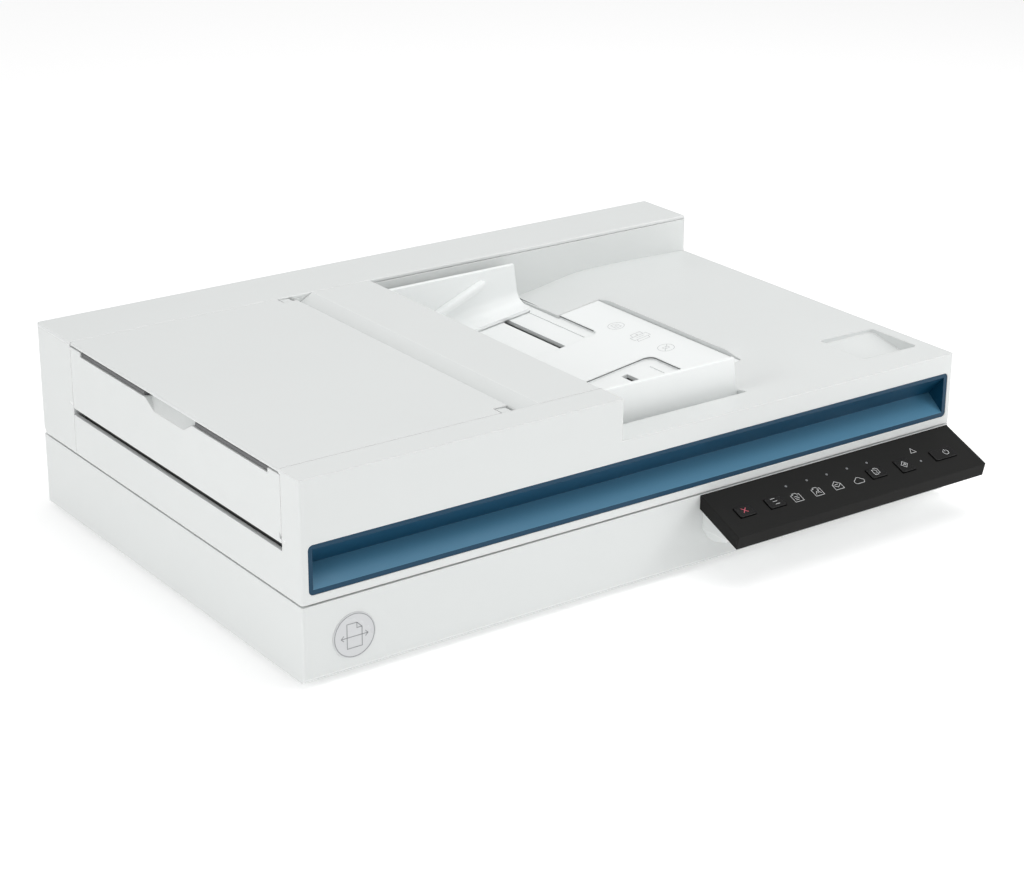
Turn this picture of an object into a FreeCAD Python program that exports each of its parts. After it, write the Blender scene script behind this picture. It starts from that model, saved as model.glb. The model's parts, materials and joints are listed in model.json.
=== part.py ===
"""Flatbed document scanner with a sheet feeder on its lid, in millimetres.

Everything is drawn in case coordinates: x from the left side, y from the front face of the case and z from
the surface that it stands on. save() moves each piece so that the origin lies under the middle of the object.
"""
import FreeCAD, Part
import os
from math import acos, atan2, cos, degrees, hypot, pi, radians, sin, sqrt, tan

V = FreeCAD.Vector

# Driving dimensions
WIDTH = 460.0            # case, left to right
DEPTH = 302.0            # case, front face to rear face
TOP = 117.5              # top of the feeder
FOOT = 3.0               # height of the rubber feet
FOOT_X = (30.0, WIDTH - 30)
FOOT_Y = (34.0, DEPTH - 32)
SCREW_X = (24.0, WIDTH - 24)
SCREW_Y = (14.0, DEPTH - 12)
BASE_TOP = 46.8
LID_BOTTOM = 48.0
WALL = 2.6
GAP = 0.3                # visible gap between neighbouring covers
BLOCK_RIGHT = 206.0      # right end of the raised feeder block
COVER_FRONT = 20.0       # feeder cover runs from here to the rear housing
HOUSING_FRONT = 258.0
CENTRE_Y = 139.0         # middle of the sheets

PANEL_REACH = 34.5       # control panel, from the case's front face to the panel's tip
PANEL_DROP = 14.0
PANEL_LEFT = 263.2
PANEL_RIGHT = 458.5
PANEL_ANGLE = degrees(atan2(PANEL_DROP, PANEL_REACH))

DECK_EDGE = 92.7         # height of the deck along the front edge
DECK_CREST = 93.9
TRAY_X = 346.4           # a point on the tray's surface
TRAY_Z = 90.5
TRAY_SLOPE = 8.0         # degrees, down to the left
TRAY_THICK = 4.4
POCKET_RIGHT = 317.0     # right wall of the pockets that the guides slide in
STEP_X = 349.0           # edge between the tray and the deck
STEP_FRONT = 67.5
STEP_REAR = 208.5
RIM_BACK = 20.8
POCKET_DEPTH = 1.8
POCKET_REACH = 91.0      # depth of the rear pocket from the housing
RIM_END = 313.5          # the front rim is thicker from here to the right
RIM_THICK_BACK = 31.0
SCOOP = (406.0, 22.0, 450.7, 61.5)

GLASS_TOP = 45.0
GLASS_THICK = 2.8
SCAN_FRONT = 30.0        # scanned width, 218 mm about the middle of the sheets
SCAN_BACK = 248.0
STRIP_LEFT = 100.0       # narrow glass that the fed sheets pass over
STRIP_RIGHT = 118.0
PLATEN_LEFT = 134.0
PLATEN_RIGHT = 433.0
CARRIAGE_X = 109.0       # middle of the carriage when it is parked
ROD_Z = 14.0
ROD_R = 4.0
BELT_Y = 165.0
PULLEY_R = 6.0
PULLEY_X = (22.0, 438.0)
FIT = 0.05               # radial clearance of a running fit

LID_AXIS = (296.0, 54.0)       # y, z
POST_X = (62.0, 398.0)
COVER_AXIS = (1.5, 116.3)      # x, z
COVER_PIN_R = 0.7
DOOR_AXIS = (1.4, 78.4)        # x, z
DOOR_BOTTOM = 76.0
DOOR_TOP = 111.8
DOOR_FRONT = 18.8
DOOR_SILL = 72.4         # the case's left wall is open from here up
DOOR_HEAD = 115.0
LATCH_AXIS = (143.5, 111.0)    # x, z

SHAFT_R = 3.0
GEAR_MODULE = 0.8
ROLLER_GEAR_TEETH = 28
PINION_TEETH = 14
FEED_AXIS = (160.0, 75.3)      # x, z
SCAN_AXIS = (138.0, 63.0)
EXIT_AXIS = (16.0, 83.2)
PICK_AXIS = (186.0, 77.7)
SEPARATOR_AXIS = (160.0, 57.8)
GEAR_Y = 262.0
BELT_PULLEY_Y = 270.0
BELT_PULLEY_R = 8.0

GUIDE_FACE = 108.0       # from the middle of the sheets to each guide's face
GUIDE_TOP = 112.3
GUIDE_TEETH = 18
GUIDE_MODULE = 1.0
GUIDE_FOOT_U = -55.4
GUIDE_PINION_U = -74.75

ORIGIN = V(WIDTH / 2, (DEPTH - PANEL_REACH) / 2, 0)


def box(x0, y0, z0, x1, y1, z1):
    return Part.makeBox(x1 - x0, y1 - y0, z1 - z0, V(x0, y0, z0))


def bar(x, y, z, radius, length, axis):
    """Cylinder that starts at a point and runs along an axis."""
    return Part.makeCylinder(radius, length, V(x, y, z), V(*axis))


def prism(points, direction):
    return Part.Face(Part.makePolygon(points + [points[0]])).extrude(direction)


def along_x(outline, x0, x1):
    return prism([V(x0, y, z) for y, z in outline], V(x1 - x0, 0, 0))


def along_y(outline, y0, y1):
    return prism([V(x, y0, z) for x, z in outline], V(0, y1 - y0, 0))


def along_z(outline, z0, z1):
    return prism([V(x, y, z0) for x, y in outline], V(0, 0, z1 - z0))


def refined(shape):
    """The shape with its split faces joined, or as it was where that would damage it."""
    try:
        merged = shape.removeSplitter()
    except Part.OCCError:
        return shape
    same = abs(merged.Volume - shape.Volume) < 1e-3 * abs(shape.Volume)
    return merged if same and merged.isValid() else shape


def cut(shape, *tools):
    for tool in tools:
        shape = shape.cut(tool)
    return refined(shape)


def join(*shapes):
    whole = shapes[0]
    for shape in shapes[1:]:
        whole = whole.fuse(shape)
    return refined(whole)


def common(a, b):
    return refined(a.common(b))


def parallel(edge, axis):
    """True for a straight edge along an axis."""
    if not isinstance(edge.Curve, (Part.Line, Part.LineSegment)):
        return False
    a, b = edge.Vertexes[0].Point, edge.Vertexes[-1].Point
    return (b - a).normalize().cross(V(*axis).normalize()).Length < 1e-6


def rounded(shape, radius, axis, keep=lambda middle: True):
    """Round the edges along an axis whose middle point is wanted."""
    edges = [e for e in shape.Edges if parallel(e, axis) and keep(e.CenterOfMass)]
    return shape.makeFillet(radius, edges)


def mirrored(shape):
    """The same piece on the other side of the middle of the sheets."""
    return shape.mirror(V(0, CENTRE_Y, 0), V(0, 1, 0))


def rounded_slab(x0, y0, x1, y1, z0, z1, radius):
    return rounded(box(x0, y0, z0, x1, y1, z1), radius, (0, 0, 1))


def save(name, shape):
    piece = shape.copy()
    piece.translate(ORIGIN * -1)
    piece.exportStep("parts/" + name + ".step")


def save_group(name, shapes):
    save(name, Part.makeCompound(shapes))


# Gears

def gear_flank(radius, base, half_at_pitch):
    """Half of a tooth's angle at a radius, for a 20 degree involute."""
    pressure = radians(20)
    here = acos(min(1.0, base / radius))
    return half_at_pitch + (tan(pressure) - pressure) - (tan(here) - here)


def gear(teeth, module, width, turn=0.0):
    """Spur gear about Z from z = 0, one tooth on +X turned by an angle in degrees."""
    pitch = teeth * module / 2
    base = pitch * cos(radians(20))
    root = pitch - 1.25 * module
    tip = pitch + 0.85 * module
    half = (pi * module / 2 - 0.14 * module) / (2 * pitch)
    start = max(base, root)
    radii = [start + (tip - start) * k / 4 for k in range(5)]
    points = []
    for tooth in range(teeth):
        middle = 2 * pi * tooth / teeth + radians(turn)
        sides = [(root, -gear_flank(start, base, half))] if start > root + 0.01 else []
        sides += [(r, -gear_flank(r, base, half)) for r in radii]
        sides += [(r, -a) for r, a in reversed(sides)]
        points += [V(r * cos(middle + a), r * sin(middle + a), 0) for r, a in sides]
    return prism(points, V(0, 0, width))


def turned_to_y(shape, x, y, z):
    """Stand a piece drawn about Z up along +Y at a point: its own +X stays +X, its +Y points down."""
    piece = shape.copy()
    piece.rotate(V(0, 0, 0), V(1, 0, 0), -90)
    piece.translate(V(x, y, z))
    return piece


def rack(length, pitch_line, back, y0, z0, z1, facing):
    """Toothed bar along +Y. facing is -1 when the teeth point to -X; a gap lies at y = CENTRE_Y."""
    module = GUIDE_MODULE
    pitch = pi * module
    slant = tan(radians(20))
    half = (pitch / 2 - 0.14 * module) / 2
    root = pitch_line - facing * 1.25 * module
    tip = pitch_line + facing * 0.85 * module
    first = CENTRE_Y + pitch / 2
    while first - pitch > y0 + half + 1:
        first -= pitch
    points = [(back, y0), (root, y0)]
    while first < y0 + length - half - 1:
        low = half + 1.25 * module * slant
        high = half - 0.85 * module * slant
        points += [(root, first - low), (tip, first - high), (tip, first + high), (root, first + low)]
        first += pitch
    points += [(root, y0 + length), (back, y0 + length)]
    return along_z(points, z0, z1)


# Sloping deck of the lid

def smooth(t):
    t = max(0.0, min(1.0, t))
    return t * t * (3 - 2 * t)


def tray_height(x):
    return TRAY_Z - (TRAY_X - x) * tan(radians(TRAY_SLOPE))


def deck_height(x, y):
    """Deck surface: a shallow crown that runs down into the tray at the front and rear of it."""
    crown = DECK_CREST - 0.00026 * (x - 389.0) ** 2
    deck = DECK_EDGE + (max(crown, DECK_EDGE - 0.2) - DECK_EDGE) * smooth(y / 60.0)
    low = tray_height(x) - 0.9 * smooth((y - 214.0) / 40.0)
    inside = 1 - smooth((x - 336.0) / 56.0)
    side = smooth((abs(y - CENTRE_Y) - 57.0) / 14.5)
    rim = 1 - smooth((y - RIM_BACK) / 26.0)
    if y < RIM_BACK:
        rim = 1.0
    return deck - (deck - min(low, deck)) * inside * side * (1 - rim)


def deck_face():
    """One smooth face through the deck surface, wider than the deck."""
    rows = []
    for i in range(25):
        x = 190.0 + 12.0 * i
        rows.append([V(x, -8.0 + 9.0 * j, deck_height(x, -8.0 + 9.0 * j)) for j in range(31)])
    surface = Part.BSplineSurface()
    surface.interpolate(rows)
    return surface.toShape()


def above_deck(face):
    return face.extrude(V(0, 0, 60))


def below_deck(face, depth):
    lower = face.copy()
    lower.translate(V(0, 0, -depth))
    return lower.extrude(V(0, 0, -60))


# Base

def base_shell():
    side_view = [(2.6, FOOT), (0, FOOT + 2.6), (0, BASE_TOP), (DEPTH, BASE_TOP), (DEPTH, FOOT)]
    shell = common(rounded_slab(0, 0, WIDTH, DEPTH, FOOT, BASE_TOP, 1.5), along_x(side_view, 0, WIDTH))
    shell = cut(shell, box(WALL, WALL, FOOT + WALL, WIDTH - WALL, DEPTH - WALL, BASE_TOP + 1))
    additions = []
    for x in POST_X:
        additions.append(box(x - 12.5, 283.5, FOOT + WALL, x + 12.5, DEPTH - WALL, 41.4))
    for x in SCREW_X:
        for y in SCREW_Y:
            additions.append(bar(x, y, FOOT + WALL, 4, 38.2, (0, 0, 1)))
    for x in (6, WIDTH - 14):
        additions.append(box(x, CENTRE_Y - 7, FOOT + WALL, x + 8, CENTRE_Y + 7, ROD_Z + 7))
    additions.append(bar(PULLEY_X[1], BELT_Y, FOOT + WALL, 4.5, 4.4, (0, 0, 1)))
    additions.append(bar(PULLEY_X[1], BELT_Y, FOOT + WALL, 2.5, 14.0, (0, 0, 1)))
    for y in (BELT_Y - 20, BELT_Y + 16):
        additions.append(box(6, y, FOOT + WALL, 38, y + 4, 21.2))
    shell = join(shell, *additions)
    holes = []
    for x in POST_X:
        holes.append(box(x - 9.3, 286.2, FOOT + WALL, x + 9.3, 296.8, 50))
    for x in SCREW_X:
        for y in SCREW_Y:
            holes.append(bar(x, y, 0, 3.4, 6.4, (0, 0, 1)))
            holes.append(bar(x, y, 0, 1.6, 50, (0, 0, 1)))
    for x in FOOT_X:
        for y in FOOT_Y:
            holes.append(bar(x, y, FOOT - 1, 8.1, 2.2, (0, 0, 1)))
    holes.append(bar(5, CENTRE_Y, ROD_Z, ROD_R, WIDTH - 10, (1, 0, 0)))
    holes.append(box(PANEL_LEFT + 12, -1, 39.2, PANEL_RIGHT - 8, WALL + 1, 43.2))
    holes.append(box(292, DEPTH - WALL - 1, 12.5, 306, DEPTH + 1, 26.5))
    holes.append(box(322, DEPTH - WALL - 1, 13.0, 336, DEPTH + 1, 26.0))
    save("base_shell", cut(shell, *holes))


def base_bezel():
    low = GLASS_TOP - GLASS_THICK - 0.4
    plate = rounded_slab(WALL + 0.3, WALL + 0.3, WIDTH - WALL - 0.3, DEPTH - WALL - 0.3, low, BASE_TOP, 1.0)
    tools = []
    tools.append(rounded_slab(PLATEN_LEFT, SCAN_FRONT, PLATEN_RIGHT, SCAN_BACK, low - 1, BASE_TOP + 1, 2.0))
    tools.append(box(PLATEN_LEFT - 5, SCAN_FRONT - 5, low - 1, PLATEN_RIGHT + 5, SCAN_BACK + 5, GLASS_TOP))
    tools.append(box(STRIP_LEFT, SCAN_FRONT, low - 1, STRIP_RIGHT, SCAN_BACK, BASE_TOP + 1))
    tools.append(box(STRIP_LEFT - 5, SCAN_FRONT - 5, low - 1, STRIP_RIGHT + 4, SCAN_BACK + 5, GLASS_TOP))
    for x in POST_X:
        tools.append(box(x - 10, 284, low - 1, x + 10, DEPTH, BASE_TOP + 1))
    for x in SCREW_X:
        for y in SCREW_Y:
            tools.append(bar(x, y, low - 1, 1.3, 4, (0, 0, 1)))
            tools.append(bar(x, y, low - 1, 4.2, 1 + 43.9 - low, (0, 0, 1)))
    save("base_bezel", cut(plate, *tools))


def glasses():
    low = GLASS_TOP - GLASS_THICK
    save("platen_glass", box(PLATEN_LEFT - 4.8, SCAN_FRONT - 4.8, low, PLATEN_RIGHT + 4.8, SCAN_BACK + 4.8,
                             GLASS_TOP))
    save("feeder_scan_glass", box(STRIP_LEFT - 4.8, SCAN_FRONT - 4.8, low, STRIP_RIGHT + 3.8,
                                  SCAN_BACK + 4.8, GLASS_TOP))


def feet_and_screws():
    feet = []
    for x in FOOT_X:
        for y in FOOT_Y:
            foot = bar(x, y, 0, 8, FOOT + 1.2, (0, 0, 1))
            rim = [e for e in foot.Edges if e.CenterOfMass.z < 0.1 and isinstance(e.Curve, Part.Circle)]
            feet.append(foot.makeFillet(0.8, rim))
    save_group("rubber_feet", feet)
    screws = []
    for x in SCREW_X:
        for y in SCREW_Y:
            head = bar(x, y, FOOT + 1.2, 3.0, 2.0, (0, 0, 1))
            cross = [box(x - 2, y - 0.4, FOOT, x + 2, y + 0.4, FOOT + 2.2),
                     box(x - 0.4, y - 2, FOOT, x + 0.4, y + 2, FOOT + 2.2)]
            shank = bar(x, y, FOOT + 3, 1.4, 37, (0, 0, 1))
            screws.append(join(cut(head, *cross), shank))
    save_group("base_screws", screws)


def carriage_drive():
    save("carriage_rod", bar(6, CENTRE_Y, ROD_Z, ROD_R, WIDTH - 12, (1, 0, 0)))
    outer = belt_loop([(x, BELT_Y, PULLEY_R + 1.5) for x in PULLEY_X])
    inner = belt_loop([(x, BELT_Y, PULLEY_R + 0.3) for x in PULLEY_X])
    loop = cut(outer.extrude(V(0, 0, 5)), inner.extrude(V(0, 0, 5)))
    loop.translate(V(0, 0, 12.4))
    save("carriage_belt", loop)
    left, right = PULLEY_X
    motor = bar(left, BELT_Y, 23.4, 14.5, 15, (0, 0, 1))
    flange = rounded_slab(6.2, BELT_Y - 20, 37.8, BELT_Y + 20, 21.2, 23.4, 3)
    save("carriage_motor", cut(join(motor, flange), bar(left, BELT_Y, 20, 2.5 + FIT, 14, (0, 0, 1))))
    flanges = [bar(0, 0, 0, PULLEY_R + 2.2, 0.8, (0, 0, 1)), bar(0, 0, 6.2, PULLEY_R + 2.2, 0.8, (0, 0, 1))]
    drum = join(bar(0, 0, 0, PULLEY_R, 7, (0, 0, 1)), *flanges)
    drive = join(drum, bar(0, 0, -0.8, 2.5, 20, (0, 0, 1)))
    drive.translate(V(left, BELT_Y, 11.4))
    save("drive_pulley", drive)
    idler = cut(drum, bar(0, 0, -1, 2.5 + FIT, 10, (0, 0, 1)))
    idler.translate(V(right, BELT_Y, 11.4))
    save("idler_pulley", idler)


def belt_loop(circles):
    """Face inside a belt about two or more circles (x, y, radius) of one radius, given anticlockwise."""
    edges = []
    count = len(circles)
    for i in range(count):
        x0, y0, r = circles[i - 1]
        x1, y1, _ = circles[i]
        x2, y2, _ = circles[(i + 1) % count]
        before = outward(x0, y0, x1, y1)
        after = outward(x1, y1, x2, y2)
        between = (before + after)
        if between.Length < 1e-6:
            between = V(x1 - x0, y1 - y0, 0)
        between.normalize()
        centre = V(x1, y1, 0)
        edges.append(Part.Arc(centre + before * r, centre + between * r, centre + after * r).toShape())
        edges.append(Part.LineSegment(centre + after * r, V(x2, y2, 0) + after * r).toShape())
    return Part.Face(Part.Wire(edges))


def outward(x0, y0, x1, y1):
    """Unit vector to the right of the way from one point to the next."""
    return V(y1 - y0, x0 - x1, 0).normalize()


def sensor_carriage():
    left, right = CARRIAGE_X - 15, CARRIAGE_X + 15
    holder = box(left, 24, 20.6, right, 254, 30)
    holder = join(holder, box(left + 2, CENTRE_Y - 9, 8, right - 2, CENTRE_Y + 9, 24),
                  box(left + 2, BELT_Y - 11, 10, left + 10, BELT_Y - 2.6, 22),
                  box(left, 24, 28, left + 2.5, 254, 36), box(right - 2.5, 24, 28, right, 254, 36))
    slot = box(left - 1, BELT_Y - 8.1, 11.6, left + 12, BELT_Y - 5.7, 18.2)
    bore = bar(left - 1, CENTRE_Y, ROD_Z, ROD_R + FIT, 40, (1, 0, 0))
    save("sensor_carriage", cut(holder, slot, bore))
    sensor = rounded(box(left + 5, 25, 30, right - 5, 253, 41.4), 0.8, (0, 1, 0), lambda m: m.z > 40)
    window = box(CARRIAGE_X - 4, SCAN_FRONT, 40.8, CARRIAGE_X + 4, SCAN_BACK, 42)
    save("contact_image_sensor", cut(sensor, window))


def chips(x0, y0, z, sizes):
    return [box(x0 + x, y0 + y, z, x0 + x + w, y0 + y + d, z + h) for x, y, w, d, h in sizes]


def electronics():
    board = box(286, 266, 9.6, 372, 296, 11.2)
    parts = chips(286, 266, 11.2, [(54, 6, 12, 14, 1.6), (36, 4, 10, 8, 1.2), (70, 10, 10, 16, 1.4),
                                   (8, 3, 8, 8, 9), (20, 3, 6, 12, 2)])
    posts = [bar(x, y, FOOT + WALL, 2.5, 4.0, (0, 0, 1)) for x in (290, 368) for y in (270, 292)]
    save("main_board", join(board, *parts, *posts))
    power = cut(box(293, 285.6, 11.2, 305, 297, 25.6), bar(299, 288, 19.4, 3.2, 10, (0, 1, 0)))
    save("power_socket", join(power, bar(299, 287.5, 19.4, 1.0, 8, (0, 1, 0))))
    usb = cut(box(323, 281.6, 11.2, 335, 297, 22.4), box(324.4, 284, 12.9, 333.6, 298, 20.9))
    save("usb_socket", join(usb, box(326.2, 283, 15.2, 331.8, 295, 18.6)))


# Control panel

def on_panel(shape):
    """Lay a piece drawn on a level panel, whose back edge is y = 0, z = 0, onto the sloping panel."""
    piece = shape.copy()
    piece.rotate(V(0, 0, 0), V(1, 0, 0), PANEL_ANGLE)
    piece.translate(V(0, 0, BASE_TOP - 0.2))
    return piece


KEYS = {
    "cancel_key": (274.6, 286.2, 16.5, 24.5),
    "job_key": (297.3, 309.1, 16.5, 24.5),
    "duplex_key": (376.3, 387.8, 16.7, 24.7),
    "start_key": (399.0, 409.5, 16.2, 26.6),
    "power_key": (427.8, 444.5, 17.0, 25.2),
}
LIGHT_X = (318.9, 335.0, 350.6, 366.6, 382.4)
LIGHT_DOWN = 11.2


def status_lights():
    places = [(x, LIGHT_DOWN) for x in LIGHT_X] + [(418.0, 21.5)]
    return [bar(x, -down, -1.8, 0.75, 1.9, (0, 0, 1)) for x, down in places]


def control_panel():
    top = BASE_TOP - 0.2
    outline = [(0, top), (-PANEL_REACH, top - PANEL_DROP), (-PANEL_REACH + 1.9, 24.5), (0, 37.8)]
    slab = along_x(outline, PANEL_LEFT, PANEL_RIGHT)
    slab = slab.makeFillet(0.5, [e for e in slab.Edges if e.CenterOfMass.y < -1 and e.CenterOfMass.z > 24.6])
    skin = 1.8
    inner = along_x([(6, -skin), (-35.6, -skin), (-36.7, -9.6), (6, -9.6)], PANEL_LEFT + skin,
                    PANEL_RIGHT - skin)
    holes = [box(x0 - 0.25, -d1 - 0.25, -3, x1 + 0.25, -d0 + 0.25, 2) for x0, x1, d0, d1 in KEYS.values()]
    lights = [bar(s.CenterOfMass.x, s.CenterOfMass.y, -3, 0.8, 5, (0, 0, 1)) for s in status_lights()]
    save("panel_cover", cut(slab, on_panel(inner), *[on_panel(s) for s in holes + lights]))
    save_group("status_lights", [on_panel(s) for s in status_lights()])
    floor = on_panel(box(PANEL_LEFT + skin + 0.1, -36.2, -8.2, PANEL_RIGHT - skin - 0.1, 6, -6.6))
    front = box(PANEL_LEFT, -60, 0, PANEL_RIGHT, -0.1, 60)
    save("panel_underside", common(floor, front))
    board = box(PANEL_LEFT + 8, -32, -6.5, PANEL_RIGHT - 8, -5, -5.3)
    domes = [bar((x0 + x1) / 2, -(d0 + d1) / 2, -5.3, 2.2, 0.5, (0, 0, 1))
             for x0, x1, d0, d1 in KEYS.values()]
    save("panel_board", on_panel(join(board, *domes)))
    bracket = along_x([(0, 37.5), (-24, 27.7), (-20, 23.5), (-6, 18.2), (0, 18.2)], 265.6, 455.5)
    lower_left = along_y([(260, 10), (275.5, 10), (265.6, 25.3), (260, 25.3)], -40, 1)
    lower_right = along_y([(461, 10), (445.6, 10), (455.5, 25.3), (461, 25.3)], -40, 1)
    save("panel_bracket", cut(bracket, lower_left, lower_right))


def panel_keys():
    for name, (x0, x1, d0, d1) in KEYS.items():
        cap = rounded(box(x0, -d1, -2.0, x1, -d0, 0.9), 0.8, (0, 0, 1))
        cap = cap.makeFillet(0.4, [e for e in cap.Edges if e.CenterOfMass.z > 0.89])
        flange = box(x0 - 0.9, -d1 - 0.9, -2.9, x1 + 0.9, -d0 + 0.9, -1.95)
        stem = bar((x0 + x1) / 2, -(d0 + d1) / 2, -3.9, 1.8, 1.4, (0, 0, 1))
        save(name, on_panel(join(cap, flange, stem)))


def front_badge():
    disc = bar(30.7, 0, 23.8, 13, 0.5, (0, -1, 0))
    save("front_badge", disc.makeFillet(0.3, [e for e in disc.Edges if e.CenterOfMass.y < -0.45
                                              and isinstance(e.Curve, Part.Circle)]))


# Lid

def hinge_posts():
    y, z = LID_AXIS
    for name, x in zip(("left_hinge_post", "right_hinge_post"), POST_X):
        post = box(x - 9, 286.5, 8, x + 9, 296.5, 46)
        neck = box(x - 6, 291.5, 44, x + 6, 299.2, z)
        knuckle = bar(x - 6, y, z, 4, 12, (1, 0, 0))
        save(name, cut(join(post, neck, knuckle), bar(x - 7, y, z, 2 + FIT, 14, (1, 0, 0))))


def hinge_window(x):
    """Room in the lid's bottom and rear wall for a knuckle and its neck."""
    return box(x - 7, 286, LID_BOTTOM - 1, x + 7, DEPTH + 1, 60.5)


def lid_base_plate():
    plate = box(WALL + 0.3, WALL + 0.3, LID_BOTTOM, WIDTH - WALL - 0.3, DEPTH - 5.4, 50.5)
    ears = []
    for x in POST_X:
        for side in (-13, 8):
            ears.append(box(x + side, 288, LID_BOTTOM, x + side + 5, DEPTH - 5.4, 59))
    plate = join(plate, *ears)
    y, z = LID_AXIS
    tools = [box(STRIP_LEFT - 4, 27, 47, STRIP_RIGHT + 4, 251, 52)]
    for x in POST_X:
        tools.append(hinge_window(x))
        tools.append(bar(x - 14, y, z, 2.0, 28, (1, 0, 0)))
    save("lid_base_plate", cut(plate, *tools))
    save_group("lid_hinge_pins", [bar(x - 13, y, z, 2.0, 26, (1, 0, 0)) for x in POST_X])


def backing_pad():
    save("backing_pad", rounded_slab(PLATEN_LEFT + 3, SCAN_FRONT + 3, PLATEN_RIGHT - 3, SCAN_BACK - 3,
                                     GLASS_TOP + 0.4, LID_BOTTOM, 2))


def scoop_cup(below):
    x0, y0, x1, y1 = SCOOP
    return common(box(x0 - 2.4, y0 - 2.4, 81.0, x1 + 2.4, y1 + 2.4, 100), below)


def scoop_hollow():
    x0, y0, x1, y1 = SCOOP
    wedge = along_x([(y0, 83.4), (y1, 90.7), (y1, 100), (y0, 100)], x0, x1)
    return rounded(wedge, 2.5, (0, 0, 1))


def lid_shell():
    face = deck_face()
    block = rounded(box(0, 0, LID_BOTTOM, WIDTH, HOUSING_FRONT, TOP), 1.5, (0, 0, 1), lambda m: m.y < 1)
    outside = [common(above_deck(face), box(BLOCK_RIGHT, -5, 60, 470, 262, 130)),
               box(BLOCK_RIGHT, -5, 100, 470, 262, 130),
               box(WALL, COVER_FRONT, 49, BLOCK_RIGHT + 1, 262, 130),
               box(-1, COVER_FRONT, DOOR_SILL, WALL + 1, 262, 130),
               box(-1, DOOR_FRONT - GAP, DOOR_SILL, WALL + 4, COVER_FRONT + 1, DOOR_HEAD),
               box(-1, HOUSING_FRONT - GAP, 47, 0.9, HOUSING_FRONT + 1, DOOR_SILL + 1),
               box(BLOCK_RIGHT - 1, RIM_BACK, 60, RIM_END, 262, 130),
               box(RIM_END - 1, RIM_THICK_BACK, 60, POCKET_RIGHT, 262, 130),
               box(BLOCK_RIGHT - 1, STEP_FRONT, 60, STEP_X, STEP_REAR, 130)]
    inner = below_deck(face, WALL)
    hollows = [box(WALL, WALL, 47, BLOCK_RIGHT - WALL, COVER_FRONT - WALL, TOP - WALL),
               common(inner, box(BLOCK_RIGHT - WALL - 1, WALL, 40, 316, 18.2, 130)),
               common(inner, box(STEP_X + WALL, WALL, 40, WIDTH - WALL, 255.4, 130)),
               common(inner, box(POCKET_RIGHT + WALL, WALL, 40, STEP_X + WALL + 1, STEP_FRONT - WALL, 130)),
               common(inner, box(POCKET_RIGHT + WALL, STEP_REAR + WALL, 40, STEP_X + WALL + 1, 255.4, 130)),
               common(inner, box(314, WALL, 40, POCKET_RIGHT + WALL + 1, 18.2, 130)),
               box(BLOCK_RIGHT - WALL, RIM_BACK, 47, POCKET_RIGHT, 255.4, 72),
               box(POCKET_RIGHT - 1, STEP_FRONT, 47, STEP_X, STEP_REAR, 72),
               box(WALL, WALL, 47, WIDTH - WALL, 262, 50.7),
               rounded(box(4.2, -1, 52.6, WIDTH - 3.7, WALL + 1, 80.8), 3, (0, 1, 0))]
    shell = cut(block, *outside)
    shell = cut(shell, *hollows)
    shell = join(shell, scoop_cup(below_deck(face, 0)))
    shell = cut(shell, scoop_hollow())
    x, z = COVER_AXIS
    pins = [bar(x, 17, z, COVER_PIN_R + FIT, 4, (0, 1, 0)),
            bar(DOOR_AXIS[0], 15, DOOR_AXIS[1], 1.2 + FIT, 4, (0, 1, 0))]
    save("lid_shell", cut(shell, *pins))


def rear_housing():
    wall = along_x([(HOUSING_FRONT, LID_BOTTOM), (DEPTH - 4, LID_BOTTOM), (DEPTH, LID_BOTTOM + 4),
                    (DEPTH, 115.4), (HOUSING_FRONT, 115.4)], 0, WIDTH)
    wall = rounded(wall, 1.5, (0, 0, 1), lambda m: m.y > 300)
    inner = along_x([(HOUSING_FRONT + WALL, 47), (DEPTH - 5.3, 47), (DEPTH - 5.3, 50.7), (DEPTH - WALL, 54),
                     (DEPTH - WALL, 116), (HOUSING_FRONT + WALL, 116)], WALL, WIDTH - WALL)
    open_front = box(WALL, HOUSING_FRONT - 1, 47, WIDTH - WALL, HOUSING_FRONT + WALL + 1, 50.7)
    seam = box(BLOCK_RIGHT, HOUSING_FRONT - 1, 115.0, WIDTH + 1, HOUSING_FRONT + 1.2, 116)
    tools = [inner, open_front, seam] + [hinge_window(x) for x in POST_X]
    for x, z in (FEED_AXIS, SCAN_AXIS, EXIT_AXIS):
        tools.append(bar(x, HOUSING_FRONT - 1, z, SHAFT_R + 0.6, 5, (0, 1, 0)))
    tools.append(bar(DOOR_AXIS[0], HOUSING_FRONT - 1, DOOR_AXIS[1], 1.2 + FIT, 5, (0, 1, 0)))
    save("rear_housing", cut(wall, *tools))
    cap = box(0, HOUSING_FRONT, 115.4, WIDTH, DEPTH, TOP)
    cap = rounded(cap, 1.5, (0, 0, 1), lambda m: m.y > 300)
    cap = cap.makeFillet(0.7, [e for e in cap.Edges if e.CenterOfMass.z > TOP - 0.01])
    lip = box(WALL + 0.2, HOUSING_FRONT + WALL + 0.2, 112.5, WIDTH - WALL - 0.2, DEPTH - WALL - 0.2, 116)
    pin_room = bar(COVER_AXIS[0], HOUSING_FRONT - 1, COVER_AXIS[1], COVER_PIN_R + FIT, 4, (0, 1, 0))
    hollow = box(5, 263, 112, WIDTH - 5, DEPTH - 5, 115.4)
    save("rear_cap", cut(join(cap, lip), hollow, pin_room))


def grip_inset():
    outer = along_x([(0.3, 80.7), (0.3, 52.7), (2.8, 52.7), (14.4, 65), (2.8, 80.7)], 4.3, WIDTH - 3.8)
    outer = rounded(outer, 2.9, (0, 1, 0), lambda m: m.y < 2.9)
    hollow = along_x([(-1, 78.2), (0.3, 78.2), (12.3, 65), (0.3, 55.5), (-1, 55.5)], 7.0, WIDTH - 6.5)
    save("grip_inset", cut(outer, hollow))


# Input tray and sheet guides, drawn on a level tray and tilted onto the slope

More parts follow.
